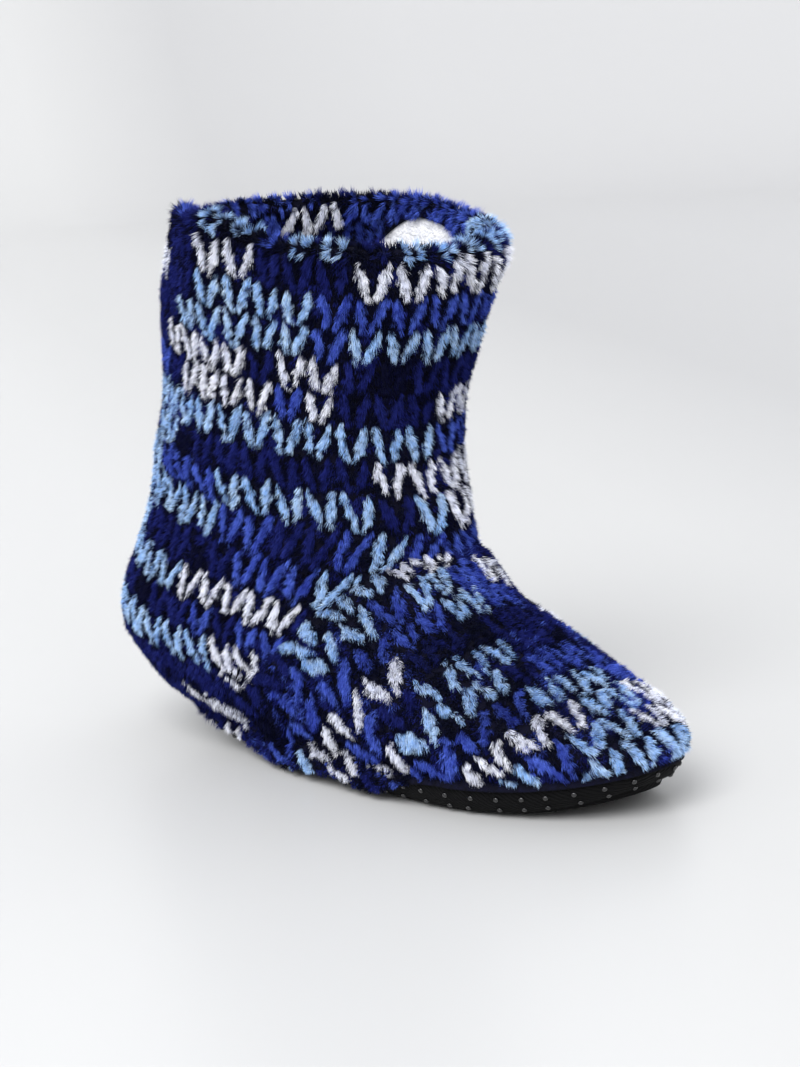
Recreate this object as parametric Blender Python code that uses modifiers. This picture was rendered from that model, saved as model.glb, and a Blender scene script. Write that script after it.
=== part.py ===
# Bootie slipper: a plush sock-like upper on a padded fabric sole.
# Metres, +Z up, toe towards +X, outer side of the foot towards -Y (a right shoe).
# The origin is on the floor, at the middle of the flat spot under the heel.

import bpy
import numpy as np

# Driving sizes
FOOT_LENGTH = 0.217         # the sole's edge, heel end to toe end
HEEL_SET_BACK = 0.051       # the sole's heel end behind the origin
BALL_WIDTH = 0.089          # across the ball of the foot
HEEL_WIDTH = 0.094          # across the widest part of the heel
SHAFT_WIDTH = 0.100         # across the shaft
SHAFT_RISE = 0.1895         # the collar's back above the sole
TOE_SWING = 0.007           # how far the toe leans to the inner side
WAIST_HOLLOW = 0.004        # how far the arch cuts in on the inner side

UPPER_WALL = 0.003
FACING_WALL = 0.0025
FACING_DEPTH = 0.028
INSOLE_THICKNESS = 0.004
SOLE_THICKNESS = 0.0105
SOLE_TUCK = 0.007           # how far the sole's underside lies inside its edge
SOLE_MARGIN = 0.001         # how far the upper's edge covers the sole's edge

HEEL_LIFT = 0.006           # rise of the sole at its heel end
ARCH_LIFT = 0.002           # rise of the sole under the arch
TOE_SPRING = 0.0065         # rise of the sole at its toe end

SEAT_GAP = 0.0003           # between pieces that lie on each other
INSOLE_PLAY = 0.0007        # between the insole's edge and the upper's wall
RIM_ROUND = 0.0009          # rounding of the upper's and facing's rims

# Places along a ring, as shares of its length from back to front
HEEL_ZONE_END = 0.12
WAIST_MIDDLE = 0.45
BALL_ZONE_START = 0.78
HEEL_REST_START = 0.14
HEEL_REST_END = 0.34
BALL_REST_START = 0.58
BALL_REST_END = 0.74
SWING_START = 0.50
SWING_END = 1.0
SIDE_FULLNESS = 0.94        # below 1 the ring's ends are fuller than an ellipse

COLUMNS = 48                # points around a ring
STEPS_PER_SECTION = 4       # rings from one section to the next

# The upper's sections, from the sole's edge to the collar.
# back, front: ends of the ring from the sole's heel end, as shares of FOOT_LENGTH
# back_rise, front_rise: heights above the sole, as shares of SHAFT_RISE
# heel, waist, ball: widths as shares of HEEL_WIDTH, SHAFT_WIDTH and BALL_WIDTH
# heel_round, toe_round: shares of the ring's length in which its ends round in
# bend: power of the climb from back to front
# follow: how much of the sole's own curves the ring takes
SECTIONS = [
    dict(name="edge", back=0.000, back_rise=0.000, front=1.000, front_rise=0.000,
         heel=0.575, waist=0.76, ball=0.90, heel_round=0.17, toe_round=0.34, bend=3.0, follow=1.0),
    dict(name="lower heel", back=-0.078, back_rise=0.061, front=1.014, front_rise=0.033,
         heel=0.81, waist=0.83, ball=1.00, heel_round=0.21, toe_round=0.34, bend=2.5, follow=0.5),
    dict(name="toe top", back=-0.147, back_rise=0.166, front=1.000, front_rise=0.087,
         heel=1.00, waist=0.86, ball=0.99, heel_round=0.27, toe_round=0.35, bend=1.8, follow=0.0),
    dict(name="vamp", back=-0.143, back_rise=0.261, front=0.889, front_rise=0.156,
         heel=1.00, waist=0.88, ball=0.945, heel_round=0.31, toe_round=0.38, bend=1.3, follow=0.0),
    dict(name="instep", back=-0.092, back_rise=0.356, front=0.668, front_rise=0.293,
         heel=0.97, waist=0.90, ball=0.965, heel_round=0.38, toe_round=0.45, bend=1.0, follow=0.0),
    dict(name="throat", back=-0.037, back_rise=0.472, front=0.592, front_rise=0.430,
         heel=0.97, waist=0.92, ball=0.99, heel_round=0.45, toe_round=0.50, bend=1.0, follow=0.0),
    dict(name="ankle", back=0.005, back_rise=0.631, front=0.581, front_rise=0.631,
         heel=0.98, waist=0.94, ball=1.04, heel_round=0.50, toe_round=0.50, bend=1.0, follow=0.0),
    dict(name="shaft", back=0.023, back_rise=0.842, front=0.650, front_rise=0.831,
         heel=1.03, waist=0.98, ball=1.10, heel_round=0.50, toe_round=0.50, bend=1.0, follow=0.0),
    dict(name="collar", back=0.097, back_rise=1.000, front=0.654, front_rise=0.926,
         heel=1.08, waist=1.05, ball=1.15, heel_round=0.50, toe_round=0.50, bend=1.0, follow=0.0),
]

# The sole's side, from its top edge to its underside.
# inset: share of SOLE_TUCK towards the middle; drop: share of SOLE_THICKNESS below the top
SOLE_SIDE = [
    dict(inset=0.00, drop=0.00),
    dict(inset=0.02, drop=0.25),
    dict(inset=0.14, drop=0.50),
    dict(inset=0.36, drop=0.74),
    dict(inset=0.66, drop=0.93),
    dict(inset=1.00, drop=1.00),
]


def ease(value, start, end):
    """A soft step from 0 at start to 1 at end."""
    share = np.clip((value - start) / (end - start), 0.0, 1.0)
    return share * share * (3.0 - 2.0 * share)


def ring_shares():
    """Angle of each point around a ring, and its share of the length from back to front."""
    angle = np.linspace(0.0, 2.0 * np.pi, COLUMNS, endpoint=False)
    return angle, 0.5 * (1.0 - np.cos(angle))


def sole_rise(share):
    """Height that the sole's heel lift, arch and toe spring add along its length."""
    heel = np.clip((HEEL_REST_START - share) / HEEL_REST_START, 0.0, 1.0)
    arch = np.clip((share - HEEL_REST_END) / (BALL_REST_START - HEEL_REST_END), 0.0, 1.0)
    toe = np.clip((share - BALL_REST_END) / (1.0 - BALL_REST_END), 0.0, 1.0)
    return HEEL_LIFT * heel**2 + ARCH_LIFT * np.sin(np.pi * arch)**2 + TOE_SPRING * toe**2


def section_ring(section):
    """The closed ring of one section, as an array of COLUMNS points."""
    angle, share = ring_shares()
    back = section["back"] * FOOT_LENGTH - HEEL_SET_BACK
    front = section["front"] * FOOT_LENGTH - HEEL_SET_BACK
    x = back + (front - back) * share

    heel = 0.5 * section["heel"] * HEEL_WIDTH
    waist = 0.5 * section["waist"] * SHAFT_WIDTH
    ball = 0.5 * section["ball"] * BALL_WIDTH
    half = heel + (waist - heel) * ease(share, HEEL_ZONE_END, WAIST_MIDDLE)
    half = half + (ball - waist) * ease(share, WAIST_MIDDLE, BALL_ZONE_START)

    behind = np.clip(1.0 - share / section["heel_round"], 0.0, 1.0)
    ahead = np.clip(1.0 - (1.0 - share) / section["toe_round"], 0.0, 1.0)
    rounding = np.sqrt((1.0 - behind**2) * (1.0 - ahead**2))
    side = -np.sign(np.sin(angle)) * np.maximum(rounding, 0.0)**SIDE_FULLNESS

    hollow = np.clip((share - HEEL_ZONE_END) / (BALL_ZONE_START - HEEL_ZONE_END), 0.0, 1.0)
    hollow = WAIST_HOLLOW * section["follow"] * np.sin(np.pi * hollow)**2
    half = half - np.where(side > 0.0, hollow, 0.0)
    along = (x + HEEL_SET_BACK) / FOOT_LENGTH
    y = side * half + TOE_SWING * ease(along, SWING_START, SWING_END)

    difference = section["front_rise"] - section["back_rise"]
    climb = section["back_rise"] + difference * share**section["bend"]
    z = SOLE_THICKNESS + SHAFT_RISE * climb + section["follow"] * sole_rise(share)
    return np.stack([x, y, z], axis=1)


def between(rings, place):
    """The ring at a place between the section rings, on a smooth curve through them."""
    last = len(rings) - 1
    low = min(int(place), last - 1)
    part = place - low
    before, start = rings[max(low - 1, 0)], rings[low]
    end, after = rings[low + 1], rings[min(low + 2, last)]
    straight = end - before
    bend = 2.0 * before - 5.0 * start + 4.0 * end - after
    twist = 3.0 * start - before - 3.0 * end + after
    return 0.5 * (2.0 * start + straight * part + bend * part**2 + twist * part**3)


def upper_skin():
    """Grid of points on the upper's outside: rings from the sole's edge to the collar."""
    rings = [section_ring(section) for section in SECTIONS]
    rings[0][:, 2] += SEAT_GAP
    count = (len(rings) - 1) * STEPS_PER_SECTION + 1
    places = np.linspace(0.0, len(rings) - 1, count)
    return np.stack([between(rings, place) for place in places])


def inward(grid, distance):
    """The grid moved towards its inside along its own normals."""
    around = np.roll(grid, -1, axis=1) - np.roll(grid, 1, axis=1)
    upward = np.gradient(grid, axis=0)
    normal = np.cross(around, upward)
    normal /= np.linalg.norm(normal, axis=2, keepdims=True)
    return grid - normal * distance


def inset_ring(ring, distance):
    """The ring moved towards its middle in plan, each point along the edge's own normal."""
    around = np.roll(ring, -1, axis=0) - np.roll(ring, 1, axis=0)
    normal = np.stack([around[:, 1], -around[:, 0], np.zeros(len(ring))], axis=1)
    normal /= np.linalg.norm(normal, axis=1, keepdims=True)
    return ring - normal * distance


def down_from_rim(grid, depth):
    """The ring that lies depth below the grid's last ring, measured along the wall."""
    down = grid[::-1]
    steps = np.linalg.norm(np.diff(down, axis=0), axis=2)
    run = np.concatenate([np.zeros((1, grid.shape[1])), np.cumsum(steps, axis=0)])
    ring = np.empty((grid.shape[1], 3))
    for column in range(grid.shape[1]):
        for axis in range(3):
            ring[column, axis] = np.interp(depth, run[:, column], down[:, column, axis])
    return ring


def tube_faces(rings, columns):
    """Quads between neighbouring rings of a tube, facing out."""
    faces = []
    for row in range(rings - 1):
        for column in range(columns):
            beside = (column + 1) % columns
            low, high = row * columns, (row + 1) * columns
            faces.append((low + column, low + beside, high + beside, high + column))
    return faces


def lid_faces(start, columns, upward):
    """Strips that close a ring from its one side to the other, facing up or down."""
    faces = []
    half = columns // 2
    for step in range(half):
        near, far = step, (columns - step) % columns
        next_near, next_far = step + 1, columns - step - 1
        corners = [near, next_near, next_far, far]
        if step == 0:
            corners = [near, next_near, next_far]
        if step == half - 1:
            corners = [near, next_near, far]
        corners = [start + corner for corner in corners]
        faces.append(corners if upward else corners[::-1])
    return faces


def material(name, colour, roughness):
    """A plain material in the piece's own colour."""
    made = bpy.data.materials.new(name)
    made.use_nodes = True
    shader = made.node_tree.nodes["Principled BSDF"]
    shader.inputs["Base Color"].default_value = (*colour, 1.0)
    shader.inputs["Roughness"].default_value = roughness
    shader.inputs["Metallic"].default_value = 0.0
    return made


def add_object(name, points, faces, finish, collection):
    """A smooth-shaded object from points and faces."""
    mesh = bpy.data.meshes.new(name)
    mesh.from_pydata([tuple(point) for point in points], [], faces)
    mesh.materials.append(finish)
    mesh.shade_smooth()
    made = bpy.data.objects.new(name, mesh)
    collection.objects.link(made)
    return made


def add_wall(made, thickness):
    """Gives an open skin its wall on the inside, and rounds its rims."""
    wall = made.modifiers.new("wall", "SOLIDIFY")
    wall.thickness = thickness
    wall.offset = -1.0
    wall.use_even_offset = True
    edge = made.modifiers.new("rim", "BEVEL")
    edge.width = RIM_ROUND
    edge.segments = 1
    edge.limit_method = "ANGLE"
    edge.angle_limit = np.radians(60.0)


def make_upper(skin, collection):
    finish = material("plush", (0.035, 0.055, 0.20), 0.95)
    faces = tube_faces(len(skin), COLUMNS)
    made = add_object("upper", skin.reshape(-1, 3), faces, finish, collection)
    add_wall(made, UPPER_WALL)


def make_collar_facing(skin, collection):
    finish = material("facing plush", (0.06, 0.10, 0.32), 0.95)
    outer = inward(skin, UPPER_WALL + SEAT_GAP)
    depths = np.linspace(FACING_DEPTH, 0.0, STEPS_PER_SECTION + 1)
    grid = np.stack([down_from_rim(outer, depth) for depth in depths])
    faces = tube_faces(len(grid), COLUMNS)
    made = add_object("collar_facing", grid.reshape(-1, 3), faces, finish, collection)
    add_wall(made, FACING_WALL)


def make_sole(edge, collection):
    finish = material("sole cloth", (0.012, 0.012, 0.014), 0.8)
    rings = []
    for level in reversed(SOLE_SIDE):
        ring = inset_ring(edge, SOLE_MARGIN + SOLE_TUCK * level["inset"])
        ring[:, 2] = edge[:, 2] - SOLE_THICKNESS * level["drop"]
        rings.append(ring)
    faces = tube_faces(len(rings), COLUMNS)
    faces += lid_faces(0, COLUMNS, upward=False)
    faces += lid_faces((len(rings) - 1) * COLUMNS, COLUMNS, upward=True)
    add_object("sole", np.concatenate(rings), faces, finish, collection)


def make_insole(edge, collection):
    finish = material("insole cloth", (0.75, 0.74, 0.72), 0.9)
    ring = inset_ring(edge, UPPER_WALL + INSOLE_PLAY)
    bottom, top = ring.copy(), ring.copy()
    bottom[:, 2] = edge[:, 2] + SEAT_GAP
    top[:, 2] = bottom[:, 2] + INSOLE_THICKNESS
    faces = tube_faces(2, COLUMNS)
    faces += lid_faces(0, COLUMNS, upward=False)
    faces += lid_faces(COLUMNS, COLUMNS, upward=True)
    add_object("insole", np.concatenate([bottom, top]), faces, finish, collection)


def main():
    for old in list(bpy.data.objects):
        bpy.data.objects.remove(old, do_unlink=True)
    collection = bpy.data.collections.new("bootie slipper")
    bpy.context.scene.collection.children.link(collection)

    skin = upper_skin()
    edge = section_ring(SECTIONS[0])
    make_sole(edge, collection)
    make_insole(edge, collection)
    make_upper(skin, collection)
    make_collar_facing(skin, collection)


main()
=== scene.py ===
# %% [markdown]
# # A plush bootie slipper
#
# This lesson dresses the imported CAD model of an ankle-high slipper: a sock of soft plush, turned
# in over the rim, lined with white fleece and closed below by a padded black sole. The CAD model
# gives the size and the place of everything, so it is loaded first and stays as it is.

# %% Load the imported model
import math
import bmesh
import bpy
import numpy as np
from mathutils import Matrix, Vector


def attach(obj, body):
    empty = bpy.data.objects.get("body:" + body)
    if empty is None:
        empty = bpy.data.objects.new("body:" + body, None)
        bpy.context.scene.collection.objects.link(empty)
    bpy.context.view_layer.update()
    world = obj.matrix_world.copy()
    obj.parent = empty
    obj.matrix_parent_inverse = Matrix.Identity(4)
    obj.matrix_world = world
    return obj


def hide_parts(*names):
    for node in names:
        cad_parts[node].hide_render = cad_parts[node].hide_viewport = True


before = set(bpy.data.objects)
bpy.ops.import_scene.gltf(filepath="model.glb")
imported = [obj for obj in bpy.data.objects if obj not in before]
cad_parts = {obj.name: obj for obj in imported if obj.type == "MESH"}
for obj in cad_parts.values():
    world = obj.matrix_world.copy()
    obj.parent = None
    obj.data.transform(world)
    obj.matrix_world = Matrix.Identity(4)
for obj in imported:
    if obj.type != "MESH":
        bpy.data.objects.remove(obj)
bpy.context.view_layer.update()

MM = 0.001


def in_mm(corners):
    return np.round(np.array(corners) / MM, 1).tolist()


print("CAD nodes:", ", ".join(sorted(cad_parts)))

# %% [markdown]
# ## The shape of the sock
#
# A foot's shape is easy to draw as a few rings, each with a width at the heel, the waist and the
# ball. A smooth curve through the rings gives the skin at any height. The CAD model was made from
# the same sizes, so the cloth lies where the solid does.

# %% Sizes of the last
FOOT_LENGTH, HEEL_SET_BACK = 217 * MM, 51 * MM
BALL_WIDTH, HEEL_WIDTH, SHAFT_WIDTH = 89 * MM, 94 * MM, 100 * MM
SHAFT_RISE, TOE_SWING, WAIST_HOLLOW = 189.5 * MM, 7 * MM, 4 * MM
SOLE_THICKNESS, SOLE_TUCK, SOLE_MARGIN = 10.5 * MM, 7 * MM, 1 * MM
HEEL_LIFT, ARCH_LIFT, TOE_SPRING = 6 * MM, 2 * MM, 6.5 * MM
HEEL_REST, BALL_REST = (0.14, 0.34), (0.58, 0.74)
ZONES = (0.12, 0.45, 0.78)
SIDE_FULLNESS = 0.94

# All are shares: back and its rise, front and its rise, widths at heel, waist and ball, how round
# heel and toe are, the bend of the rise, and how far the ring follows the sole's own rise.
SECTIONS = (
    (0.0, 0.0, 1.0, 0.0, 0.575, 0.76, 0.9, 0.17, 0.34, 3.0, 1.0),
    (-0.078, 0.061, 1.014, 0.033, 0.81, 0.83, 1.0, 0.21, 0.34, 2.5, 0.5),
    (-0.147, 0.166, 1.0, 0.087, 1.0, 0.86, 0.99, 0.27, 0.35, 1.8, 0.0),
    (-0.143, 0.261, 0.889, 0.156, 1.0, 0.88, 0.945, 0.31, 0.38, 1.3, 0.0),
    (-0.092, 0.356, 0.668, 0.293, 0.97, 0.9, 0.965, 0.38, 0.45, 1.0, 0.0),
    (-0.037, 0.472, 0.592, 0.43, 0.97, 0.92, 0.99, 0.45, 0.5, 1.0, 0.0),
    (0.005, 0.631, 0.581, 0.631, 0.98, 0.94, 1.04, 0.5, 0.5, 1.0, 0.0),
    (0.023, 0.842, 0.65, 0.831, 1.03, 0.98, 1.1, 0.5, 0.5, 1.0, 0.0),
    (0.097, 1.0, 0.654, 0.926, 1.08, 1.05, 1.15, 0.5, 0.5, 1.0, 0.0),
)


def ease(value, start, end):
    share = np.clip((value - start) / (end - start), 0, 1)
    return share * share * (3.0 - 2.0 * share)


def lengths(vectors):
    return np.linalg.norm(vectors, axis=-1)


def full_turn(count):
    return np.linspace(0, 2 * np.pi, count, endpoint=False)


def foot_share(x):
    """How far along the foot, from 0 at the heel to 1 at the toe."""
    return (x + HEEL_SET_BACK) / FOOT_LENGTH


def middle_line(x):
    """The foot's middle swings to the inner side towards the toe."""
    return TOE_SWING * ease(foot_share(x), 0.5, 1.0)


def sole_rise(share):
    """How far the underside lifts off the floor along the length: heel, arch and toe spring."""
    heel = np.clip((HEEL_REST[0] - share) / HEEL_REST[0], 0, 1)
    arch = np.clip((share - HEEL_REST[1]) / (BALL_REST[0] - HEEL_REST[1]), 0, 1)
    toe = np.clip((share - BALL_REST[1]) / (1 - BALL_REST[1]), 0, 1)
    return HEEL_LIFT * heel**2 + ARCH_LIFT * np.sin(np.pi * arch)**2 + TOE_SPRING * toe**2


def sole_top(x):
    return SOLE_THICKNESS + sole_rise(foot_share(x))


def section_ring(section, columns):
    """One ring, from the back of the leg along the outer side to the front and back again."""
    (back, back_rise, front, front_rise, heel, waist, ball,
     heel_round, toe_round, bend, follow) = section
    angle = full_turn(columns)
    share = 0.5 * (1 - np.cos(angle))
    back, front = (place * FOOT_LENGTH - HEEL_SET_BACK for place in (back, front))
    x = back + (front - back) * share
    heel, waist, ball = 0.5 * heel * HEEL_WIDTH, 0.5 * waist * SHAFT_WIDTH, 0.5 * ball * BALL_WIDTH
    half = heel + (waist - heel) * ease(share, ZONES[0], ZONES[1])
    half = half + (ball - waist) * ease(share, ZONES[1], ZONES[2])
    behind = np.clip(1 - share / heel_round, 0, 1)
    ahead = np.clip(1 - (1 - share) / toe_round, 0, 1)
    rounding = np.sqrt(np.maximum((1 - behind**2) * (1 - ahead**2), 0.0))
    side = -np.sign(np.sin(angle)) * rounding**SIDE_FULLNESS
    along = np.clip((share - ZONES[0]) / (ZONES[2] - ZONES[0]), 0, 1)
    hollow = WAIST_HOLLOW * follow * np.sin(np.pi * along)**2
    half = half - np.where(side > 0.0, hollow, 0.0)
    y = side * half + middle_line(x)
    climb = back_rise + (front_rise - back_rise) * share**bend
    z = SOLE_THICKNESS + SHAFT_RISE * climb + follow * sole_rise(share)
    return np.stack([x, y, z], axis=1)


def between(rings, place):
    """A smooth curve through the rings, read at row numbers that need not be whole."""
    last = len(rings) - 1
    row = np.minimum(place.astype(int), last - 1)
    t = (place - row)[:, None, None]
    before, start, end, after = (rings[np.clip(row + step, 0, last)] for step in (-1, 0, 1, 2))
    return 0.5 * (2 * start + (end - before) * t
                  + (2 * before - 5 * start + 4 * end - after) * t**2
                  + (3 * start - before - 3 * end + after) * t**3)


def unit(vectors):
    return vectors / np.maximum(lengths(vectors), 1e-12)[..., None]


def outward(grid):
    """The outward normal at each point of a grid of rings."""
    around = np.roll(grid, -1, axis=1) - np.roll(grid, 1, axis=1)
    return unit(np.cross(around, np.gradient(grid, axis=0)))


def inset_ring(ring, distance):
    """The ring drawn in by a distance, without changing its levels."""
    around = np.roll(ring, -1, axis=0) - np.roll(ring, 1, axis=0)
    normal = unit(np.stack([around[:, 1], -around[:, 0], np.zeros(len(ring))], axis=1))
    return ring - normal * distance


AROUND, UP = 360, 200
skin_places = np.linspace(0, len(SECTIONS) - 1, UP)
skin = between(np.stack([section_ring(section, AROUND) for section in SECTIONS]), skin_places)
solid = np.array([list(v.co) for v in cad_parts["upper"].data.vertices])
for label, points in (("skin", skin.reshape(-1, 3)), ("CAD upper", solid)):
    print(label, "in mm:", in_mm([points.min(axis=0), points.max(axis=0)]))

# %% [markdown]
# ## Folds placed one by one
#
# An empty slipper slumps: the rim pinches, the ankle folds and the seam pulls in. Each fold is a
# short line, and the skin near it moves along its own normal by a soft bell, in for a trough and
# out for a ridge.

# %% Troughs and ridges
# Start, end, width and depth, in mm.
FOLDS = (
    # Rim and front corner
    ((45, -52, 200), (40, -50, 168), 8, 4.0),
    ((16, -52, 196), (6, -50, 158), 15, -2.5),
    ((24, -48, 150), (-20, -42, 146), 9, 2.0),
    ((84, 24, 186), (82, 28, 168), 14, -4.4),
    ((76, 26, 158), (70, 28, 128), 16, -1.8),
    # Ankle
    ((-30, -38, 102), (4, -48, 96), 6, 2.6),
    ((-44, -28, 112), (4, -48, 110), 8, -2.0),
    ((-50, -24, 86), (-6, -47, 80), 6, 2.0),
    # Throat and instep
    ((60, -35, 90), (76, -14, 86), 6, 2.4),
    ((80, 18, 84), (66, 34, 88), 6, 2.2),
    ((76, -10, 94), (76, 20, 94), 9, -2.6),
    ((72, -30, 74), (92, -4, 71), 7, -1.8),
    ((84, -34, 58), (104, -8, 60), 6, 2.2),
    # Vamp, toe and shaft
    ((92, -36, 44), (112, -18, 50), 8, -1.5),
    ((108, -36, 34), (126, -16, 42), 7, 1.6),
    ((132, -26, 32), (146, -6, 36), 9, -1.2),
    ((30, -44, 136), (58, -36, 126), 16, 1.4),
    # Far side, back and heel
    ((20, 47, 104), (-30, 40, 110), 8, 2.4),
    ((30, 46, 86), (-20, 46, 76), 7, 2.2),
    ((-56, -4, 98), (-52, 20, 104), 8, 1.4),
    ((-46, -26, 140), (-54, -22, 84), 14, -1.7),
    ((-80, -14, 58), (-66, -32, 26), 15, -2.0),
    ((40, 50, 195), (30, 48, 160), 14, 2.0),
    ((70, 40, 56), (96, 22, 62), 7, 1.8),
)
SEAM = [(5, -34, 12), (0, -40, 23), (14, -43, 36), (30, -44, 49), (43, -43, 61), (57, -36, 72),
        (67, -28, 79), (75, -19, 81), (82, -4, 80), (82, 6, 80), (74, 24, 81), (57, 37, 72),
        (43, 44, 61), (14, 44, 36), (0, 41, 23), (5, 34, 12)]
SEAM_WIDTH, SEAM_DEPTH = 3.2, 1.8


def distance_to_line(points, start, end):
    """How far each point is from a short line given in mm, and where along the line it is."""
    start, end = np.array(start) * MM, np.array(end) * MM
    line = end - start
    share = np.clip(((points - start) @ line) / (line @ line), 0, 1)
    return lengths(points - start - share[..., None] * line), share


def folded(points, normals):
    """The points moved along their normals by all the folds and by the seam's groove."""
    shift = np.zeros(points.shape[:-1])
    for start, end, width, depth in FOLDS:
        away, share = distance_to_line(points, start, end)
        fade = 0.35 + 0.65 * np.sin(np.pi * share)
        shift -= depth * MM * fade * np.exp(-(away / (width * MM))**2)
    groove = np.full(points.shape[:-1], 1.0)
    for start, end in zip(SEAM, SEAM[1:]):
        groove = np.minimum(groove, distance_to_line(points, start, end)[0])
    shift -= SEAM_DEPTH * MM * np.exp(-(groove / (SEAM_WIDTH * MM))**2)
    return points + normals * shift[..., None]


RIM_LIFTS = ((-28, -22, 13, -4.0), (-16, -45, 15, 4.6), (20, -51, 15, 7.0), (46, -50, 9, -2.5),
             (88, 4, 16, -1.0), (80, 34, 14, 2.8), (18, 52, 36, 1.4))
LIFT_START = 6.6


def lifted(grid):
    """The wall pulled up or pushed down near the rim, as the table says."""
    shift = np.zeros(grid.shape[:2])
    for x, y, width, rise in RIM_LIFTS:
        away = np.hypot(grid[..., 0] / MM - x, grid[..., 1] / MM - y)
        shift += rise * MM * np.exp(-(away / width)**2)
    share = ease(skin_places, LIFT_START, len(SECTIONS) - 1)
    grid = grid.copy()
    grid[..., 2] += shift * share[:, None]
    return grid


creased = lifted(folded(skin, outward(skin)))
print(f"folds move the skin by up to {lengths(creased - skin).max() / MM:.1f} mm")

# %% [markdown]
# ## One sheet of plush, turned in over the rim
#
# A photo's outline shows the tips of the pile, so the cloth lies deeper by the pile's length. The
# sheet climbs the outside, rolls over the rim and goes down inside as the facing. Making it as
# one grid keeps pile and pattern whole across the roll.

# %% The sheet of cloth
PILE_DEPTH, ROLL_RADIUS, FACING_DEPTH = 3 * MM, 2.3 * MM, 28 * MM
RIM_DROP, ROLL_ROWS, FACING_ROWS = 4.6 * MM, 7, 22
LINING_PLACE, LINING_SPREAD, LINING_GAP = 0.728, 0.076, 0.84
DROOP, DROOP_LEAST, DROOP_OUT, DROOP_ROWS = 7 * MM, 0.6 * MM, 0.3 * MM, 7
DROOP_START, DROOP_END = (0.10, 0.34), (0.56, 0.70)


def wall_at(grid, depths):
    """Rings of a wall at these distances below its rim, measured along the wall.
    A depth is one number for the whole ring, or one for each column."""
    depths = np.array([np.broadcast_to(depth, grid.shape[1]) for depth in depths])
    down = grid[::-1]
    steps = lengths(np.diff(down, axis=0))
    run = np.concatenate([np.zeros((1, grid.shape[1])), np.cumsum(steps, axis=0)])
    rings = np.empty((len(depths), grid.shape[1], 3))
    for column, axis in np.ndindex(grid.shape[1], 3):
        rings[:, column, axis] = np.interp(depths[:, column], run[:, column],
                                           down[:, column, axis])
    return rings


creased_normals = outward(creased)
root = creased - creased_normals * PILE_DEPTH
inner = creased - creased_normals * (PILE_DEPTH + 2 * ROLL_RADIUS)
outer_top = wall_at(root, [RIM_DROP])[0]
turn_share = np.arange(AROUND) / AROUND
slack = np.exp(-((turn_share - LINING_PLACE) / LINING_SPREAD)**4)
facing_depths = FACING_DEPTH * (1 - LINING_GAP * slack)
inner_rows = wall_at(inner, [RIM_DROP + facing_depths * share
                             for share in np.linspace(0, 1.0, FACING_ROWS)])
wall_length = lengths(np.diff(root, axis=0)).sum(axis=0)
keep = lengths(root - root[-1]).min(axis=1) > RIM_DROP * 1.1
edge_line = section_ring(SECTIONS[0], AROUND)
edge_place = foot_share(edge_line[:, 0])
droop = DROOP * ease(edge_place, *DROOP_START) * (1 - ease(edge_place, *DROOP_END)) + DROOP_LEAST
hang = []
for share in np.linspace(1, 0, DROOP_ROWS):
    bulge = 0.2 + 0.8 * math.sin(math.pi * (0.15 + 0.7 * share))
    ring = inset_ring(edge_line, -DROOP_OUT * bulge)
    ring[:, 2] -= droop * share
    hang.append(ring)
first_kept = int(np.argmax(root[:, :, 2].min(axis=1) > SOLE_THICKNESS + MM))
keep[:max(first_kept, 6)] = False
outer_rows = np.concatenate([np.stack(hang), root[keep], outer_top[None]])
middle = 0.5 * (outer_top + inner_rows[0])
upward = unit(outer_top - wall_at(root, [RIM_DROP + 4 * MM])[0])
turns = np.linspace(0, np.pi, ROLL_ROWS)[1:-1, None, None]
roll_rows = middle + (outer_top - middle) * np.cos(turns) + upward * ROLL_RADIUS * np.sin(turns)
sheet = np.concatenate([outer_rows, roll_rows, inner_rows])
sheet_normals = outward(sheet)
rim_row = len(outer_rows) + len(roll_rows) // 2
print(f"sheet: {len(sheet)} rows of {AROUND}, wall {wall_length.mean() / MM:.0f} mm long")

# %% [markdown]
# ## Where the stitches are
#
# Each point of the sheet gets a column and a row number. On the leg they come from the arc length
# round the ring and from the height. Ahead of the seam the vamp is another piece of cloth, whose
# rows run across the foot, so there they come from the place round the foot and along it.

# %% Columns and rows
STITCH_WIDTH, STITCH_ROW, LEG_ROW = 13.0, 11.0, 11.8
LEG_COLUMNS, THROAT_PLACE = 14, 5.0
ROW_TILT, FIRST_ROW_LEVEL, HEEL_ROWS = 0.17, 196.4, -0.5
VAMP_RUN = (0.643, -0.766)
SEAM_LEVEL, SEAM_SLOPE, THROAT_LEVEL, SEAM_FOOT = 23.0, 0.77, 80.0, 2.0

half_way = AROUND // 2
steps = lengths(np.roll(sheet, -1, axis=1) - sheet)
row_place = np.concatenate([np.zeros(DROOP_ROWS), skin_places[keep],
                            np.full(len(sheet) - DROOP_ROWS - keep.sum(), len(SECTIONS) - 1)])
throat = np.argmin(abs(row_place - THROAT_PLACE))


def half_columns(steps):
    """Columns from the back round one side to the front, at the throat's scale below it."""
    run = np.concatenate([np.zeros((len(sheet), 1)), np.cumsum(steps, axis=1)], axis=1)
    reach = np.where(row_place >= THROAT_PLACE, run[:, -1], run[throat, -1])
    return run * (LEG_COLUMNS / reach)[:, None]


leg_column = np.empty((len(sheet), AROUND + 1))
leg_column[:, :half_way + 1] = half_columns(steps[:, :half_way])
leg_column[:, half_way:] = 2 * LEG_COLUMNS - half_columns(steps[:, ::-1][:, :half_way])[:, ::-1]

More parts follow.
